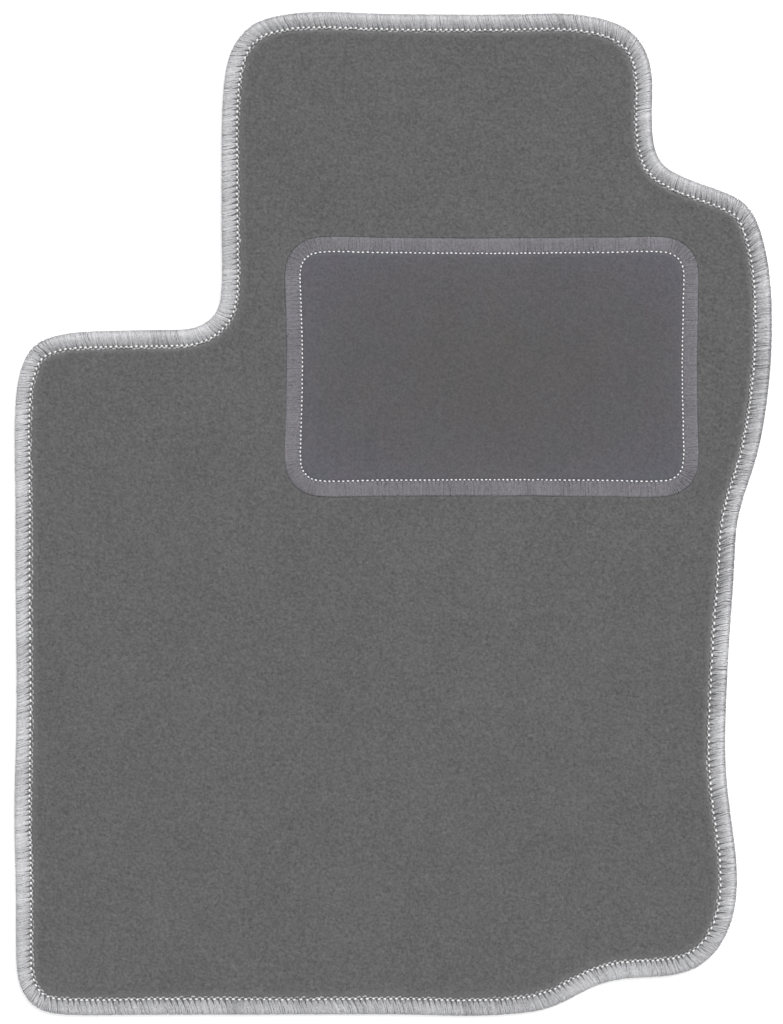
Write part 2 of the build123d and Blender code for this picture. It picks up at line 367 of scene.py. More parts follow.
def ribbon(rng, name, loop, count, profile, wobble, tone=None):
    """A band round a loop through a profile of (inset, height), slightly uneven."""
    inset, height = np.array(profile).T
    stations = len(inset)
    s = np.arange(count) * loop.length / count
    uneven = wobble * rng.standard_normal((count, stations))
    xy = loop.at(np.repeat(s[:, None], stations, 1), inset[None] + uneven)
    z = height[None] + 0.5 * uneven
    verts = np.concatenate([xy, z[..., None]], -1).reshape(-1, 3)
    index = np.arange(count * stations).reshape(count, -1)
    after = np.roll(index, -1, 0)
    quads = np.stack([index[:, :-1], after[:, :-1], after[:, 1:], index[:, 1:]], -1)
    tones = None if tone is None else np.tile(tone, count)
    return make_mesh(name, verts, [quads.reshape(-1, 4)], tones)


def stitch_row(rng, name, loop, base, knots, finish, sides=8, points=12, jitter=0.06, shift=0.0,
               upright=False, tone_spread=0.2, radius_jitter=0.06, flat=1.0):
    """One piece of thread per stitch; knots are (fraction of a stitch, inset, height, radius)."""
    n = len(base)
    curve = np.repeat(np.array(knots, float)[None], n, 0)
    k = curve.shape[1]
    curve[..., 0] += (jitter * 0.5 * rng.standard_normal((n, 1))
                      + 0.02 * rng.standard_normal((n, k)))
    curve[..., 1] += (jitter * 2.0 * rng.standard_normal((n, 1))
                      + jitter * 0.6 * rng.standard_normal((n, k)))
    curve[..., 1] += np.reshape(shift, (-1, 1))
    curve[..., 2] += jitter * rng.standard_normal((n, 1))
    curve = catmull(curve, np.linspace(0, k - 1, points))
    paths = thread_points(loop, base, np.arange(n), curve)
    if upright:
        reference = np.repeat(np.array([[0, 0, 1.0]]), n, 0)
    else:
        reference = level(loop.dirs(base)[1])
    radii = np.maximum(curve[..., 3], 0.08) * (1 + radius_jitter * rng.standard_normal((n, 1)))
    tone = unit(0.5 + tone_spread * rng.standard_normal(n))[:, None]
    place(make_mesh(name, *tubes(paths, radii, reference, sides, tone, flat)), *finish)


# ------------------------------------------------------------------ height-field meshes
def grid(x_span, y_span, step):
    return np.meshgrid(np.arange(*x_span, step), np.arange(*y_span, step))


def jiggle(rng, x, y, amount):
    """Moves grid points sideways at random."""
    return (x + rng.uniform(-amount, amount, x.shape),
            y + rng.uniform(-amount, amount, y.shape))


def cell_quads(inside):
    """The cells whose four corners are inside, their rows and columns, and their quads."""
    nx = inside.shape[1]
    cells = inside[:-1, :-1] & inside[1:, :-1] & inside[:-1, 1:] & inside[1:, 1:]
    rows, columns = np.nonzero(cells)
    a = rows * nx + columns
    return cells, rows, columns, np.stack([a, a + 1, a + nx + 1, a + nx], 1)


def renumber(faces, count):
    """The vertices in use out of count, and the faces numbered among them."""
    used = np.unique(faces)
    remap = np.full(count, -1, np.int64)
    remap[used] = np.arange(len(used))
    return used, remap[faces]


def grid_patch(name, x, y, z, inside, tone=None):
    """A single-sided height field."""
    used, quads = renumber(cell_quads(inside)[3], z.size)
    verts = np.stack([x.ravel()[used], y.ravel()[used], z.ravel()[used]], 1)
    return make_mesh(name, verts, [quads], None if tone is None else tone.ravel()[used])


def slab(name, x, y, top, bottom, inside):
    """A closed sheet between two height fields."""
    cells, rows, columns, upper = cell_quads(inside)
    offset = x.size
    faces = [upper, upper[:, ::-1] + offset]
    padded = np.pad(cells, 1)
    # neighbour's row and column step, and the two corners of the edge shared with it
    for row_step, column_step, start, end in ((-1, 0, 0, 1), (0, 1, 1, 2),
                                              (1, 0, 2, 3), (0, -1, 3, 0)):
        free = ~padded[1 + rows + row_step, 1 + columns + column_step]
        p, q = upper[free, start], upper[free, end]
        faces.append(np.stack([q, p, p + offset, q + offset], 1))
    verts = np.concatenate([np.stack([x.ravel(), y.ravel(), z.ravel()], 1)
                            for z in (top, bottom)])
    used, quads = renumber(np.concatenate(faces), len(verts))
    return make_mesh(name, verts[used], [quads])


def row_bands(rows, cuts):
    """Number and slice of each band of grid rows between cuts in y; bands share a row."""
    for k in range(len(cuts) - 1):
        first, last = np.searchsorted(rows, cuts[k:k + 2])
        yield k + 1, slice(first, min(last + 1, len(rows)))


def tuft_relief(rng, shape, pitch, jitter=0.42, vary=0.16):
    """Tuft height on a grid (about 1 at a tip, lower between) and the random value of each tip.

    pitch is in cells; jitter moves the tips and vary changes their heights.
    """
    ny, nx = shape
    tips_y, tips_x = int(ny / pitch) + 3, int(nx / pitch) + 3
    tips = (tips_y, tips_x)
    row, column = np.arange(tips_y)[:, None], np.arange(tips_x)[None, :]
    centre_y = (row - 0.5 + rng.uniform(-jitter, jitter, tips)) * pitch
    centre_x = (column - 0.5 + rng.uniform(-jitter, jitter, tips) + 0.5 * (row % 2)) * pitch
    tip = rng.normal(0, 1, tips)
    height = np.full(shape, -1e9)
    owner = np.zeros(shape)
    y, x = np.mgrid[0:ny, 0:nx].astype(float)
    own_row, own_column = (y / pitch).astype(int), (x / pitch).astype(int)
    for dj in (-1, 0, 1, 2):
        for di in (-1, 0, 1, 2):
            j = np.clip(own_row + dj, 0, tips_y - 1)
            i = np.clip(own_column + di, 0, tips_x - 1)
            away = ((y - centre_y[j, i]) ** 2 + (x - centre_x[j, i]) ** 2) / pitch ** 2
            h = 1 - 1.9 * away + vary * tip[j, i]
            higher = h > height
            height = np.where(higher, h, height)
            owner = np.where(higher, tip[j, i], owner)
    return height, owner


# ------------------------------------------------------------------ maps of inset on a coarse grid
MAP_STEP = 2.0
MAP_X0, MAP_Y0 = -272.0, -358.0
MAP_NX, MAP_NY = 273, 359


def inset_map(loop, every=6, near=6):
    """Inset from a loop at each map point, and the arc length of the nearest loop sample."""
    points, normals = loop.pos[::every], loop.normal[::every]
    tree = KDTree(len(points))
    for i, p in enumerate(points):
        tree.insert((p[0], p[1], 0), i)
    tree.balance()
    inset = np.empty((MAP_NY, MAP_NX))
    nearest = np.empty((MAP_NY, MAP_NX), int)
    for j in range(MAP_NY):
        y = MAP_Y0 + j * MAP_STEP
        for i in range(MAP_NX):
            x = MAP_X0 + i * MAP_STEP
            _, k, distance = tree.find((x, y, 0))
            inward = (x - points[k][0]) * normals[k][0] + (y - points[k][1]) * normals[k][1]
            inset[j, i] = inward if distance < near else math.copysign(distance, inward)
            nearest[j, i] = k
    return inset, loop.s[:-1][::every][nearest]


def lookup(table, x, y):
    """Bilinear reading of a map."""
    column = np.clip((x - MAP_X0) / MAP_STEP, 0, MAP_NX - 1.001)
    row = np.clip((y - MAP_Y0) / MAP_STEP, 0, MAP_NY - 1.001)
    i, j = column.astype(int), row.astype(int)
    a, b = column - i, row - j
    return (table[j, i] * (1 - a) * (1 - b) + table[j, i + 1] * a * (1 - b)
            + table[j + 1, i] * (1 - a) * b + table[j + 1, i + 1] * a * b)


def lookup_near(table, x, y):
    """Nearest reading of a map."""
    i = np.clip(np.rint((x - MAP_X0) / MAP_STEP).astype(int), 0, MAP_NX - 1)
    j = np.clip(np.rint((y - MAP_Y0) / MAP_STEP).astype(int), 0, MAP_NY - 1)
    return table[j, i]


MAT_INSET, MAT_S = inset_map(MAT)
PAD_INSET, _ = inset_map(PAD)
SEAM_INSET = MAT_INSET - needle_shift(MAT, MAT_S, SEWING, NEEDLE_INSET)   # follows the sewing


# ------------------------------------------------------------------ materials
def shade(rgb, gain):
    """Base colour for an 8-bit sRGB shade, scaled to suit the studio light."""
    linear = [v / 12.92 if v <= 0.04045 else ((v + 0.055) / 1.055) ** 2.4
              for v in (c / 255 for c in rgb)]
    return (*(v * gain for v in linear), 1.0)


def textile(name, low, high, fine_mm, bump, gain=0.80, contrast=1.0, coarse=0.25, fibre=0.0,
            tone_share=0.0, hue=None, fade=None, dust=0.04, rough=0.9, sheen=0.2, bump_mm=0.5):
    """Fibre material: two yarn shades mixed by noise and by each vertex's tone (which on several
    pieces holds painted light and shade), with lint.

    contrast, coarse and fibre are the strengths of fine, wide and hair-thin noise; hue is two
    tints mixed in blotches; fade tints a worn middle and its corners; dust is the share of lint.
    """
    material = bpy.data.materials.new(name)
    material.use_nodes = True
    tree = material.node_tree
    bsdf = tree.nodes["Principled BSDF"]
    link = tree.links.new
    coords = tree.nodes.new("ShaderNodeTexCoord")
    mapping = tree.nodes.new("ShaderNodeMapping")
    mapping.inputs["Scale"].default_value = (1, 1, 1)
    link(coords.outputs["Object"], mapping.inputs["Vector"])

    def feed(socket, value):
        if isinstance(value, bpy.types.NodeSocket):
            link(value, socket)
        else:
            socket.default_value = value

    def noise(mm, detail, roughness=0.6):
        node = tree.nodes.new("ShaderNodeTexNoise")
        node.inputs["Scale"].default_value = 1.0 / (mm * MM * 2)
        node.inputs["Detail"].default_value = detail
        node.inputs["Roughness"].default_value = roughness
        link(mapping.outputs[0], node.inputs["Vector"])
        return node.outputs["Fac"]

    def maths(operation, a, b, clamp=False):
        node = tree.nodes.new("ShaderNodeMath")
        node.operation = operation
        node.use_clamp = clamp
        feed(node.inputs[0], a)
        feed(node.inputs[1], b)
        return node.outputs[0]

    def scaled(value, centre, strength, clamp=False):
        return maths("MULTIPLY", maths("SUBTRACT", value, centre), strength, clamp)

    def mix(factor, a, b, blend="MIX"):
        node = tree.nodes.new("ShaderNodeMix")
        node.data_type = "RGBA"
        node.blend_type = blend
        for socket, value in (("Factor", factor), ("A", a), ("B", b)):
            feed(node.inputs[socket], value)
        return node.outputs["Result"]

    fine = scaled(noise(fine_mm, detail=3), 0.5, 2.2 * contrast)
    wide = scaled(noise(25.0, detail=2), 0.5, 4.0 * coarse)
    total = maths("ADD", fine, wide)
    if fibre:
        hairs = scaled(noise(0.17, detail=2, roughness=0.7), 0.5, 2.2 * fibre)
        total = maths("ADD", total, hairs)
    if tone_share:
        attribute = tree.nodes.new("ShaderNodeAttribute")
        attribute.attribute_name = "tone"
        vertex_tone = scaled(attribute.outputs["Fac"], 0.5, 2 * tone_share)
        total = maths("ADD", total, vertex_tone)
    base = mix(maths("ADD", total, 0.5, clamp=True), shade(low, gain), shade(high, gain))
    if hue:
        blotches = scaled(noise(9.0, detail=2), 0.5, 3.0)
        tint = mix(maths("ADD", blotches, 0.5, clamp=True), (*hue[0], 1), (*hue[1], 1))
        base = mix(1.0, base, tint, blend="MULTIPLY")
    if fade:
        place_xyz = tree.nodes.new("ShaderNodeSeparateXYZ")
        link(coords.outputs["Object"], place_xyz.inputs[0])
        x, y = [scaled(place_xyz.outputs[axis], centre * MM, 1 / (half * MM))
                for axis, centre, half in zip("XY", fade["centre"], fade["half_size"])]
        outwards = maths("ADD", maths("MULTIPLY", x, x), maths("MULTIPLY", y, y))
        tint = mix(maths("MULTIPLY", outwards, 0.55, clamp=True),
                   (*fade["middle"], 1), (*fade["corners"], 1))
        base = mix(1.0, base, tint, blend="MULTIPLY")
    specks = scaled(noise(3.1, detail=5, roughness=0.8), 0.62, 6.0, clamp=True)
    base = mix(maths("MULTIPLY", specks, dust), base, (0.75, 0.73, 0.70, 1))
    link(base, bsdf.inputs["Base Color"])
    for socket, value in (("Roughness", rough), ("Specular IOR Level", 0.25),
                          ("Sheen Weight", sheen), ("Sheen Roughness", 0.5),
                          ("Sheen Tint", (0.9, 0.9, 0.9, 1))):
        bsdf.inputs[socket].default_value = value
    relief = tree.nodes.new("ShaderNodeBump")
    relief.inputs["Strength"].default_value = bump
    relief.inputs["Distance"].default_value = 0.3 * MM
    link(noise(bump_mm, detail=4, roughness=0.7), relief.inputs["Height"])
    link(relief.outputs[0], bsdf.inputs["Normal"])
    return material


TEXTILES = {
    "pile_grey": dict(
        low=(74, 74, 74), high=(141, 141, 141), gain=0.612, fine_mm=0.8, coarse=0.04,
        contrast=0.47, fibre=0.55, tone_share=0.138, dust=0.03, sheen=0.05,
        bump=0.55, bump_mm=0.2),
    "pad_pile_plum_grey": dict(
        low=(86, 84.5, 86.3), high=(105, 104.5, 107.2), gain=0.745, fine_mm=0.8, coarse=0.08,
        fibre=0.8, tone_share=0.2, dust=0.03, sheen=0.05, bump=0.55, bump_mm=0.2,
        hue=((1.035, 0.995, 1.0), (0.975, 1.0, 1.02)),
        fade=dict(centre=(68.8, 102.8), half_size=(133.7, 80.0),
                  middle=(0.986, 0.968, 0.925), corners=(1.074, 1.08, 1.17))),
    "edge_yarn_light_grey": dict(
        low=(138, 138, 140.5), high=(236, 236, 239), fine_mm=0.7, coarse=0.03, contrast=0.48,
        tone_share=0.23, dust=0.0, rough=0.7, sheen=0.10, bump=0.35, bump_mm=0.25),
    # darker than the outer yarn: painted shade in the gaps between bundles
    "edge_yarn_inner_shaded": dict(
        low=(98, 98, 99), high=(165, 165, 168), fine_mm=0.7, contrast=0.4, tone_share=0.5,
        dust=0.0, rough=0.85, bump=0.3),
    "stitch_thread_white": dict(
        low=(243, 243, 243), high=(252, 252, 252), gain=0.88, fine_mm=0.4, tone_share=0.2,
        dust=0.0, rough=0.5, sheen=0.05, bump=0.3, bump_mm=0.2),
    "loop_thread_pale": dict(
        low=(152, 152, 154), high=(210, 210, 212), fine_mm=0.4, tone_share=0.3,
        dust=0.0, rough=0.6, sheen=0.05, bump=0.3, bump_mm=0.2),
    "pad_yarn_mauve_grey": dict(
        low=(100, 98, 102.5), high=(148, 146, 152), gain=0.855, fine_mm=0.6, coarse=0.03,
        contrast=0.7, tone_share=0.22, dust=0.0, rough=0.75, sheen=0.05,
        bump=0.35, bump_mm=0.25),
    "pad_yarn_inner": dict(
        low=(114, 112, 116), high=(132, 130, 134), fine_mm=0.7, dust=0.0, rough=0.85, bump=0.3),
    "antislip_rubber": dict(
        low=(40, 40, 41), high=(58, 58, 60), fine_mm=0.8, coarse=0.2, dust=0.10, rough=0.85,
        sheen=0.05, bump=0.4, bump_mm=0.6),
    "latex_precoat": dict(
        low=(128, 126, 120), high=(160, 158, 150), fine_mm=2.0, dust=0.0, rough=0.6, sheen=0.0,
        bump=0.3),
    "woven_cloth": dict(
        low=(110, 108, 104), high=(150, 148, 142), fine_mm=0.8, dust=0.0, sheen=0.1, bump=0.3),
}
MATERIALS = {name: textile(name, **look) for name, look in TEXTILES.items()}

# material, CAD node and finish slot of the threads
EDGE_YARN = ("edge_yarn_light_grey", "edge_binding_yarn", "edge_yarn")
PAD_YARN = ("pad_yarn_mauve_grey", "heel_pad_binding_yarn", "pad_yarn")


# ------------------------------------------------------------------ carpet pile
def build_pile(rng):
    """Tufted field in bands, low at the binding's seam and flattened under the pad's edge."""
    step = 0.62
    x, y = grid(FIELD_X, FIELD_Y, step)
    rows, shape = y[:, 0], x.shape
    relief, tip = tuft_relief(rng, shape, 1.8 / step)
    lumps = field_noise(rng, shape, 1.6 / step)
    waves = field_noise(rng, shape, 14.0 / step)
    grain = rng.standard_normal(shape)
    x, y = jiggle(rng, x, y, 0.16)
    from_edge = lookup(MAT_INSET, x, y)
    from_seam = lookup(SEAM_INSET, x, y)
    in_pad = lookup(PAD_INSET, x, y)
    facing = around(FACING, 1, MAT, lookup_near(MAT_S, x, y))
    lee = unit(-facing)

    nap = 0.42 * (relief - 0.72) + 0.05 * lumps + 0.04 * grain
    full = ramp(from_seam, 11.9, 14.7 + 2.4 * lee)       # 0 at the seam, 1 in the open field
    foot = 1.80 + 0.38 * ramp(from_seam, 11.3, 12.3)
    z = (PILE_FOOT_Z + foot + (PILE_TOP_Z - PILE_FOOT_Z - 0.2 - foot) * full ** 0.8
         + nap * (0.22 + 0.78 * full) + 0.10 * waves * full)
    pressed_z = PILE_FOOT_Z + 2.3
    z = pressed_z + (z - pressed_z) * (0.10 + 0.90 * ramp(-in_pad, -1.6, 0.4))

    # painted light: the tufts over the seams and by the pad's edge are painted paler, for their sheen
    # and against the shade there, most on the sides facing away from the key light
    painted_light_near_seams = ((1 - ramp(from_seam, 11.8, 17.8 + 0.8 * lee)) * (1.15 - 0.50 * facing + 0.25 * lee)
             + 0.25 * bell(in_pad, -0.7, 1.0)
             + (0.85 - 0.25 * facing) * bell(from_seam, 12.5, 1.15))
    tone = np.clip(0.5 + (0.16 * tip + 0.04 * grain) * (0.5 + 0.5 * full) + painted_light_near_seams, -0.2, 2.4)
    inside = (from_edge > 8.2) & (in_pad < 3.0)
    cuts = [-400, -285, -215, -145, -75, -5, 70, 150, 240, 400]
    for number, band in row_bands(rows, cuts):
        patch = grid_patch("carpet_pile_patch_%d" % number, x[band], y[band], z[band],
                           inside[band], tone[band])
        place(patch, "pile_grey", "carpet_pile", "mat_pile")


# ------------------------------------------------------------------ edge binding
# A strand from the needle line over the edge to the underside. Shape columns: inset, height,
# share of full spacing, lean along the edge (mm), share of puff, share of curl, girth.
# Tone columns, all painted light and shade across the strand: everywhere (painted shade towards the
# needle line and at the rim), facing the light, +x side, upper +x side, lower +x side, +y side.
EDGE_STRAND = np.array([
    (11.4, 3.95, 0.34, -0.10, 0.3, 0.0, 0.75, -0.50, 0.00, 0.00, 0.00, 0.00, 0.00),
    (10.9, 4.35, 0.42, 0.00, 0.6, 0.0, 0.80, -0.50, 0.00, 0.00, 0.00, 0.00, 0.00),
    (10.3, 4.62, 0.52, 0.12, 0.9, 0.5, 0.85, -0.45, -0.04, 0.00, 0.00, 0.00, 0.00),
    (9.2, 4.92, 0.68, 0.42, 1.0, 1.0, 0.95, -0.36, -0.06, 0.00, -0.05, 0.00, 0.00),
    (7.3, 5.28, 0.90, 1.00, 1.0, 1.0, 1.05, -0.20, 0.00, 0.00, -0.08, 0.00, 0.00),
    (5.0, 5.55, 1.00, 1.65, 1.0, 1.0, 1.08, -0.02, 0.16, 0.00, -0.18, 0.04, 0.00),
    (2.9, 5.56, 1.00, 2.15, 0.9, 1.0, 1.05, 0.05, 0.54, 0.06, -0.42, 0.24, 0.07),
    (1.3, 4.98, 1.00, 2.40, 0.6, 0.6, 1.00, -0.15, -0.02, -0.42, -0.34, 0.09, 0.24),
    (0.52, 3.8, 1.00, 2.50, 0.2, 0.0, 1.00, -0.60, -0.45, -0.30, -0.10, 0.00, 0.10),
    (0.42, 2.2, 1.00, 2.50, 0.0, 0.0, 1.00, -0.50, -0.50, -0.20, 0.00, 0.00, 0.00),
    (0.95, 0.95, 1.00, 2.40, 0.0, 0.0, 1.00, -0.20, -0.30, 0.00, 0.00, 0.00, 0.00),
    (2.6, 0.46, 0.98, 2.20, 0.0, 0.0, 1.00, 0.00, 0.00, 0.00, 0.00, 0.00, 0.00),
    (6.5, 0.42, 0.90, 1.30, 0.0, 0.0, 1.00, 0.00, 0.00, 0.00, 0.00, 0.00, 0.00),
    (10.2, 0.42, 0.72, 0.40, 0.0, 0.0, 0.90, 0.00, 0.00, 0.00, 0.00, 0.00, 0.00),
    (12.7, 0.40, 0.50, 0.00, 0.0, 0.0, 0.80, 0.00, 0.00, 0.00, 0.00, 0.00, 0.00)])
# station numbers at which a strand gets a ring
EDGE_RINGS = np.array([0, 0.9, 1.8, 2.7, 3.6, 4.5, 5.3, 6.0, 6.6, 7.1, 7.6, 8.1, 8.7, 9.2, 9.7,
 10.2, 10.8, 11.4, 12.2, 13.1, 14.0])


def at_rings(rings, columns):
    """Each column of a strand table read at the rings."""
    stations = np.arange(len(columns))
    return [np.interp(rings, stations, column) for column in columns.T]


def build_edge_strands(rng, base):
    """Bundles of yarn wrapped over the mat's edge."""
    stitches = len(base)
    stitch, across = bundles(stitches)
    count = len(stitch)
    inset, height, spacing, lean_mm, puff_share, curl_share = EDGE_STRAND.T[:6]
    all_knots = (count, len(inset))
    s = base[stitch]
    tangent, inward = MAT.dirs(s)
    out_x, out_y = -inward.T

    lean = (1.0 + 0.22 * smooth_noise(rng, stitches, 14)[stitch]
            + 0.05 * rng.standard_normal(count))
    outwards = (0.16 * smooth_noise(rng, stitches, 9)[stitch]
                + 0.09 * rng.standard_normal(count))
    puff = (0.09 * rng.standard_normal(count)
            + 0.07 * smooth_noise(rng, stitches, 1.5)[stitch])
    puff = puff - 0.16 * (np.abs(across) / 0.417) ** 2.5          # each bundle is rounded
    radius = np.clip(0.40 + 0.045 * rng.standard_normal(count), 0.31, 0.52)
    side_shift = 0.07 * rng.standard_normal(count)
    stitch_tone = 0.10 * smooth_noise(rng, stitches, 3) + 0.07 * rng.standard_normal(stitches)
    own_tone = unit(0.5 + 0.15 * rng.standard_normal(count) + stitch_tone[stitch])
    sway = np.stack([smooth_noise(rng, count, 5) for _ in inset], 1)
    loose = (np.clip(0.85 + 0.30 * rng.standard_normal(stitches), 0.1, 1.3)[stitch]
             * (1 - 0.5 * unit(out_y)))
    # the yarn is curlier along the +x side
    lively = 1.0 + 1.1 * bell(s, 560, 190)[:, None]
    lit = np.clip(around(FACING, 1, MAT, s), 0, 0.55)[:, None] / 0.55

    at_rim = bell(inset, 0.4, 2.2)[None]
    shift = needle_shift(MAT, base, SEWING, NEEDLE_INSET)[stitch][:, None]
    knot_inset = (inset[None] - outwards[:, None] * at_rim * 0.9
                  + shift * ramp(inset, 3.0, 9.5)[None] - 0.10 * lit * at_rim)
    knot_inset = np.maximum(knot_inset - 0.08 * at_rim, 0.24)
    spread = 1 - (1 - spacing[None]) * np.where(inset[None] > 5.5, loose[:, None], 1.0)
    along_mm = (lean_mm[None] * lean[:, None] + side_shift[:, None] * lively
                + (0.06 * rng.standard_normal(all_knots) + 0.15 * sway) * lively)
    knot_along = across[:, None] * spread + 0.08 + along_mm / EDGE_PITCH
    knot_height = (height[None] + puff[:, None] * puff_share[None]
                   + 0.05 * lively * rng.standard_normal(all_knots) * curl_share[None])
    curve = catmull(np.stack([knot_along, knot_inset, knot_height], -1), EDGE_RINGS)

    girth, painted_shade_everywhere, tone_lit, painted_light_shade_x, painted_light_shade_upper_x, painted_light_shade_lower_x, painted_light_shade_y = at_rings(
        EDGE_RINGS, EDGE_STRAND[:, 6:])
    swell = 1 + 0.10 * np.sin(EDGE_RINGS[None] * 0.64 + rng.uniform(0, 6.28, (count, 1)))
    radii = radius[:, None] * swell * girth[None]

    # the yarn is painted darker everywhere but along the -x side
    darker_off_minus_x = 1 - 0.9 * unit(-tangent[:, 1:]) ** 2
    plus_x, plus_y, minus_y = [unit(v)[:, None] for v in (out_x, out_y, -out_y)]
    y = MAT.at(base, 0 * base)[:, 1][stitch][:, None]
    tone = unit(0.5 + (own_tone[:, None] - 0.5) * lively ** 0.7)
    # painted light and shade: darker towards the needle line and at the rim, a lit crest on the sides
    # that face the key light; on top of that the level differs by side
    tone = (tone + 0.386 + painted_shade_everywhere - 0.34 * darker_off_minus_x + tone_lit * lit
            + plus_x ** 2 * (painted_light_shade_x + painted_light_shade_upper_x * bell(y, 120, 75)
                             + painted_light_shade_lower_x * bell(y, -130, 110))
            + plus_y * (painted_light_shade_y - 0.13) - 0.05 * minus_y)
    place_strands("edge_binding_strands", 6, MAT, base, stitch, curve, radii,
                  tone, EDGE_YARN)


def build_edge_inner_yarn(rng):
    """The layer of yarn that shows in the gaps between bundles, coloured darker than the bundles and
    darker still towards the needle line as painted shade.
    """
    profile = [(12.2, 4.1), (10.6, 4.2), (8.6, 4.45), (6.6, 4.85), (4.0, 5.10), (1.45, 4.75),
               (0.76, 3.6), (0.66, 2.4), (1.05, 1.2), (3.0, 0.85), (8.0, 0.8), (12.4, 0.75)]
    # painted shade: darker towards the needle line
    tone = np.array([0.0, 0.05, 0.2, 0.6, 0.9, 0.9, 0.8, 0.7, 0.7, 0.7, 0.7, 0.7])
    band = ribbon(rng, "edge_binding_inner_yarn", MAT, 1400, profile, wobble=0.08, tone=tone)
    place(band, "edge_yarn_inner_shaded", *EDGE_YARN[1:])


def build_edge_stitches(rng, base):
    shift = needle_shift(MAT, base, SEWING, NEEDLE_INSET)
    stitch_row(rng, "edge_needle_stitches", MAT, base, [
        (-0.17, 10.90, 4.3, 0.42), (-0.13, 10.93, 5.1, 0.58), (-0.05, 10.98, 5.55, 0.68),
        (0.05, 11.04, 5.55, 0.68), (0.13, 11.08, 5.1, 0.58), (0.17, 11.12, 4.3, 0.42)],
        ("stitch_thread_white", "edge_needle_thread", "white_thread"), shift=shift, flat=0.95)
    stitch_row(rng, "edge_loop_tips", MAT, base, [
        (0.12, 11.2, 4.8, 0.32), (0.24, 11.7, 5.4, 0.45), (0.42, 12.15, 5.65, 0.52),
        (0.58, 12.25, 5.65, 0.52), (0.74, 12.0, 5.5, 0.45), (0.86, 11.5, 4.7, 0.30)],
        ("loop_thread_pale", "edge_needle_thread", "white_thread"), upright=True, sides=6,
        shift=0.08 + np.where(shift < 0, 0.35, 1.0) * shift, jitter=0.15, radius_jitter=0.16,
        tone_spread=0.35)
    stitch_row(rng, "edge_looper_stitches", MAT, base, [
        (-0.55, 12.2, 0.75, 0.26), (-0.42, 12.5, 0.42, 0.33), (-0.1, 12.95, 0.36, 0.36),
        (0.2, 12.5, 0.36, 0.36), (0.45, 12.3, 0.42, 0.33), (0.55, 12.4, 0.75, 0.26)],
        ("loop_thread_pale", "edge_looper_thread", "edge_yarn"), upright=True, sides=6)


# ------------------------------------------------------------------ heel pad
def build_pad_pile(rng):
    step = 0.68
    x, y = grid((-68, 207), (20, 187), step)
    shape = x.shape
    relief, tip = tuft_relief(rng, shape, 1.9 / step)
    lumps = field_noise(rng, shape, 2.0 / step)
    waves = field_noise(rng, shape, 14.0 / step)
    x, y = jiggle(rng, x, y, 0.14)
    inset = lookup(PAD_INSET, x, y)
    rise = ramp(inset, 10.8, 13.4)
    nap = 0.20 * (relief - 0.72) + 0.04 * lumps + 0.02 * rng.standard_normal(shape)
    z = (7.45 + (PAD_TOP_Z - 7.6) * rise ** 0.8 + nap * (0.35 + 0.65 * rise)
         + 0.06 * waves * rise)
    # painted light: paler towards the seam, where the pad's binding shades the pile, most of all along
    # the -x and -y sides, which face away from the key light
    tone = (0.5 + 0.16 * tip + 0.45 * (1 - ramp(inset, 10.5, 14.0))
            + 0.5 * (1 - ramp(inset, 10.6, 12.8)) * ((x < -50) | (y < 35))
            + 0.40 * (1 - ramp(inset, 11, 34)))
    field = grid_patch("heel_pad_pile_field", x, y, z, inset > 8.3, np.clip(tone, 0, 1.6))
    place(field, "pad_pile_plum_grey", "heel_pad_pile", "pad_pile")


# A strand of the pad's binding: inset, height, share of full spacing, lean along the edge (mm),
# share of puff, tone (painted light: paler at the rim and beside the seam)
PAD_STRAND = np.array([
    (10.9, 7.05, 0.66, -0.10, 0.0, 0.16), (10.0, 7.45, 0.74, 0.00, 0.3, 0.12),
    (9.2, 7.60, 0.84, 0.00, 0.5, 0.06), (7.6, 7.72, 0.95, 0.10, 0.9, 0.00),
    (5.2, 7.76, 1.00, 0.20, 1.0, -0.03), (3.0, 7.74, 1.00, 0.35, 1.0, 0.04),
    (1.5, 7.62, 1.00, 0.45, 0.8, 0.26), (0.6, 7.20, 1.00, 0.50, 0.5, 0.50),
    (0.36, 6.50, 1.00, 0.50, 0.2, 0.60), (0.6, 5.90, 1.00, 0.50, 0.0, 0.40),
    (1.6, 5.60, 1.00, 0.50, 0.0, 0.00), (4.0, 5.58, 1.00, 0.50, 0.0, 0.00)])


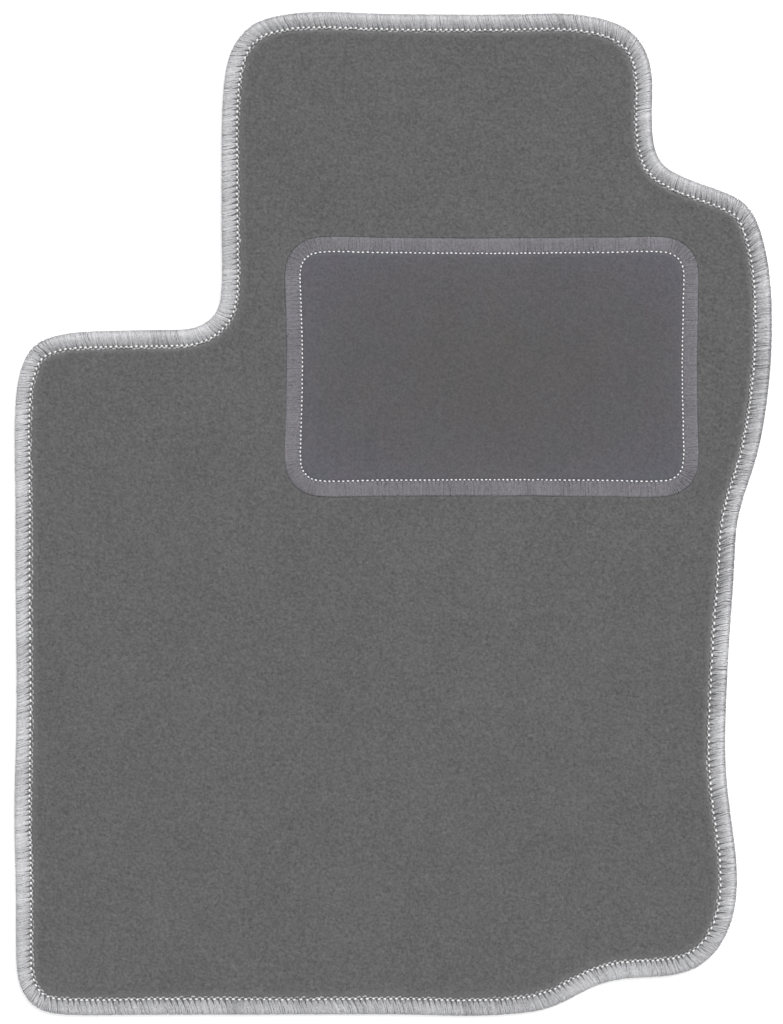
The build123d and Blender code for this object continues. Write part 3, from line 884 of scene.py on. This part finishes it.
def build_pad_strands(rng, base):
    stitches = len(base)
    stitch, across = bundles(stitches)
    count = len(stitch)
    inset, height, spacing, lean_mm, puff_share, _ = PAD_STRAND.T
    pitch = PAD.steps(PAD_NEEDLE_INSET).sum() / stitches
    outwards = (0.12 * smooth_noise(rng, stitches, 8)[stitch]
                + 0.09 * rng.standard_normal(count))
    puff = 0.05 * rng.standard_normal(count)
    knot_inset = np.maximum(
        inset[None] - outwards[:, None] * bell(inset, 0.3, 1.8)[None], 0.25)
    knot_height = height[None] + puff[:, None] * puff_share[None]
    along_mm = (lean_mm[None] + 0.08 * rng.standard_normal((count, 1))
                + 0.07 * rng.standard_normal((count, len(inset))))
    knot_along = across[:, None] * spacing[None] + along_mm / pitch
    ring_count = 13
    rings = np.linspace(0, len(inset) - 1, ring_count)
    curve = catmull(np.stack([knot_along, knot_inset, knot_height], -1), rings)
    radius = np.clip(0.37 + 0.03 * rng.standard_normal(count), 0.30, 0.46)[:, None]
    phase = np.linspace(0, 8, ring_count)[None] + rng.uniform(0, 6.28, (count, 1))
    radii = radius * (1 + 0.12 * np.sin(phase))

    tone = unit(0.5 + 0.11 * rng.standard_normal(count)
                + 0.10 * smooth_noise(rng, stitches, 3)[stitch])
    painted_rim_light, = at_rings(rings, PAD_STRAND[:, 5:])
    facing = -PAD.dirs(base[stitch])[1] @ TO_LIGHT
    # painted light: the rim and the seam side are painted paler, less so on the sides that face the
    # key light
    tone = (tone[:, None] + painted_rim_light[None] * (1 - 0.55 * np.clip(facing, -0.4, 1))[:, None]
            - 0.06)
    place_strands("heel_pad_binding_strands", 2, PAD, base, stitch, curve,
                  radii, tone, PAD_YARN)


def build_pad_inner_yarn(rng):
    profile = [(11.2, 7.0), (9.2, 7.35), (5.5, 7.55), (2.4, 7.5), (0.9, 7.0), (0.75, 6.3),
               (1.5, 5.75), (6.0, 5.7)]
    band = ribbon(rng, "heel_pad_binding_inner_yarn", PAD, 700, profile, wobble=0.06)
    place(band, "pad_yarn_inner", *PAD_YARN[1:])


def build_pad_stitches(rng, base):
    """The binding's chain, just outside the seam, and the seam's threads above and below."""
    stitch_row(rng, "heel_pad_chain_stitches", PAD, base, [
        (-0.45, 8.7, 7.3, 0.2), (-0.3, 8.9, 7.75, 0.27), (0.0, 9.3, 7.98, 0.32),
        (0.3, 9.6, 7.75, 0.27), (0.42, 9.7, 7.3, 0.2)],
        ("pad_yarn_mauve_grey", "heel_pad_needle_thread", "pad_yarn"), sides=6, points=9)

    def on_seam(rows):
        return [(along, PAD_SEAM_INSET, z, radius) for along, z, radius in rows]

    seam = wandering_places(PAD, PAD_SEAM_INSET, PAD_SEWING)
    stitch_row(rng, "heel_pad_seam_stitches", PAD, seam, on_seam([
        (-0.21, 7.2, 0.33), (-0.16, 7.75, 0.42), (-0.07, 7.95, 0.50),
        (0.07, 7.95, 0.50), (0.16, 7.75, 0.42), (0.21, 7.2, 0.33)]),
        ("stitch_thread_white", "heel_pad_seam_thread", "white_thread"), points=10,
        shift=needle_shift(PAD, seam, PAD_SEWING, PAD_SEAM_INSET), jitter=0.04, flat=0.72)
    stitch_row(rng, "heel_pad_bobbin_stitches", PAD, seam, on_seam([
        (-0.44, 1.2, 0.24), (-0.38, 0.6, 0.3), (-0.15, 0.38, 0.34),
        (0.15, 0.38, 0.34), (0.38, 0.6, 0.3), (0.44, 1.2, 0.24)]),
        ("stitch_thread_white", "heel_pad_bobbin_thread", "white_thread"), sides=6, points=9,
        jitter=0.03)


def weave(x, y, step, depth, phase=0.0):
    """Ripple of a woven cloth, four grid steps long."""
    return (depth * np.sin(x * np.pi / step / 2 + phase)
            * np.sin(y * np.pi / step / 2 + phase))


def build_pad_cloth():
    step = 2.0
    x, y = grid((-74, 213), (14, 194), step)
    ripple = weave(x, y, step, depth=0.08)
    cloth = slab("heel_pad_backing_cloth", x, y, 6.2 + ripple, 5.35 - ripple,
                 lookup(PAD_INSET, x, y) > 1.8)
    place(cloth, "woven_cloth", "heel_pad_backing", "pad_cloth")


# ------------------------------------------------------------------ hidden layers and underside
def build_hidden_layers(rng):
    step = 3.0
    x, y = grid((-264, 264.1), (-350, 350.1), step)
    inside = lookup(MAT_INSET, x, y) > 2.2
    ripple = weave(x, y, step, depth=0.09, phase=0.7)
    place(slab("primary_backing_cloth", x, y, 2.7 + ripple, 2.38 + ripple, inside),
          "woven_cloth", "primary_backing", "woven_cloth")
    skin = 0.05 * field_noise(rng, x.shape, 3)
    place(slab("latex_precoat_sheet", x, y, 2.2 + skin, 1.9 + skin * 0.5, inside),
          "latex_precoat", "latex_precoat", "latex")


def build_antislip(rng):
    """Rubber sheet with rows of knobs underneath and a groove along the pad's seam."""
    step = 1.05
    x, y = grid(FIELD_X, FIELD_Y, step)
    rows = y[:, 0]
    relief, _ = tuft_relief(rng, x.shape, 4.4 / step, jitter=0.05, vary=0.03)
    x, y = jiggle(rng, x, y, 0.08)
    inset = lookup(MAT_INSET, x, y)
    knob = ramp(relief, 0.66, 0.92)
    z = 0.78 - 0.70 * knob * ramp(inset, 13.0, 14.6) + 0.02 * rng.standard_normal(x.shape)
    z = z + 0.55 * bell(lookup(PAD_INSET, x, y), PAD_SEAM_INSET, 0.9)
    raised = np.minimum(z + 0.5 * (1 - ramp(inset, 12.4, 13.4)), 1.5)
    z = np.where(inset < 13.2, raised, z)                # the rim rises over the binding
    cuts = [-400, -175, 0, 175, 400]
    for number, band in row_bands(rows, cuts):
        sheet = grid_patch("antislip_backing_sheet_%d" % number, x[band], y[band], z[band],
                           inset[band] > 9.0)
        sheet.data.flip_normals()                        # it faces down
        place(sheet, "antislip_rubber", "antislip_backing", "backing_rubber")


# ------------------------------------------------------------------ stage, light and camera (m)
def build_floor(half_size=6, points=41, z=-0.0006):
    """A pale, faintly glowing floor."""
    mesh = bpy.data.meshes.new("floor")
    line = np.linspace(-half_size, half_size, points)
    x, y = np.meshgrid(line, line)
    index = np.arange(points * points).reshape(points, points)
    quads = np.stack([index[:-1, :-1], index[:-1, 1:], index[1:, 1:], index[1:, :-1]], -1)
    verts = np.stack([x.ravel(), y.ravel(), np.full(x.size, z)], 1)
    mesh.from_pydata(verts.tolist(), [], quads.reshape(-1, 4).tolist())
    floor = add_object("floor", mesh)

    material = bpy.data.materials.new("floor_pale")
    material.use_nodes = True
    tree = material.node_tree
    bsdf = tree.nodes["Principled BSDF"]
    noise = tree.nodes.new("ShaderNodeTexNoise")
    noise.inputs["Scale"].default_value = 3.0
    mix = tree.nodes.new("ShaderNodeMix")
    mix.data_type = "RGBA"
    mix.inputs["A"].default_value = (0.93, 0.93, 0.93, 1)
    mix.inputs["B"].default_value = (0.95, 0.95, 0.95, 1)
    tree.links.new(noise.outputs["Fac"], mix.inputs["Factor"])
    tree.links.new(mix.outputs["Result"], bsdf.inputs["Base Color"])
    for socket, value in (("Roughness", 0.9), ("Specular IOR Level", 0.0),
                          ("Emission Color", (1, 1, 1, 1)), ("Emission Strength", 0.22)):
        bsdf.inputs[socket].default_value = value
    mesh.materials.append(material)


def build_world():
    """White surroundings: the camera sees plain white, the scene is lit a little less."""
    world = bpy.data.worlds.new("studio")
    bpy.context.scene.world = world
    world.use_nodes = True
    tree = world.node_tree
    ambient = tree.nodes["Background"]
    ambient.inputs["Color"].default_value = (1, 1, 1, 1)
    ambient.inputs["Strength"].default_value = 0.86
    white = tree.nodes.new("ShaderNodeBackground")
    white.inputs["Color"].default_value = (1, 1, 1, 1)
    rays = tree.nodes.new("ShaderNodeLightPath")
    pick = tree.nodes.new("ShaderNodeMixShader")
    tree.links.new(rays.outputs["Is Camera Ray"], pick.inputs[0])
    tree.links.new(ambient.outputs[0], pick.inputs[1])
    tree.links.new(white.outputs[0], pick.inputs[2])
    tree.links.new(pick.outputs[0], tree.nodes["World Output"].inputs["Surface"])


def build_key_light():
    sun = bpy.data.lights.new("key_light", "SUN")
    sun.energy = 1.75
    sun.angle = math.radians(50)
    shines = Vector((-0.50, -0.72, -0.90))
    add_object("key_light", sun).rotation_euler = shines.to_track_quat("-Z", "Y").to_euler()


def build_camera(half_view=0.3584, sharp_z=0.0042):
    """Looks straight down; half_view is half the width seen at height sharp_z."""
    camera = bpy.data.cameras.new("camera")
    camera.lens = 120
    camera.sensor_width = 36
    camera.clip_end = 50
    distance = half_view * camera.lens / (camera.sensor_width / 2)
    ob = add_object("camera", camera)
    ob.location = (-1.18 * MM, 1.35 * MM, sharp_z + distance)
    scene = bpy.context.scene
    scene.camera = ob
    scene.view_settings.view_transform = "Standard"
    scene.view_settings.look = "None"


# ------------------------------------------------------------------ build; each rng is shared in order
build_pile(np.random.default_rng(11))

edge_rng = np.random.default_rng(23)
edge_base = wandering_places(MAT, NEEDLE_INSET, SEWING)
build_edge_strands(edge_rng, edge_base)
build_edge_inner_yarn(edge_rng)
build_edge_stitches(edge_rng, edge_base)

pad_rng = np.random.default_rng(37)
pad_base = stitch_places(PAD, PAD_NEEDLE_INSET, PAD_PITCH)
build_pad_pile(pad_rng)
build_pad_strands(pad_rng, pad_base)
build_pad_inner_yarn(pad_rng)
build_pad_stitches(pad_rng, pad_base)
build_pad_cloth()

under_rng = np.random.default_rng(41)
build_hidden_layers(under_rng)
build_antislip(under_rng)

build_floor()
build_world()
build_key_light()
build_camera()
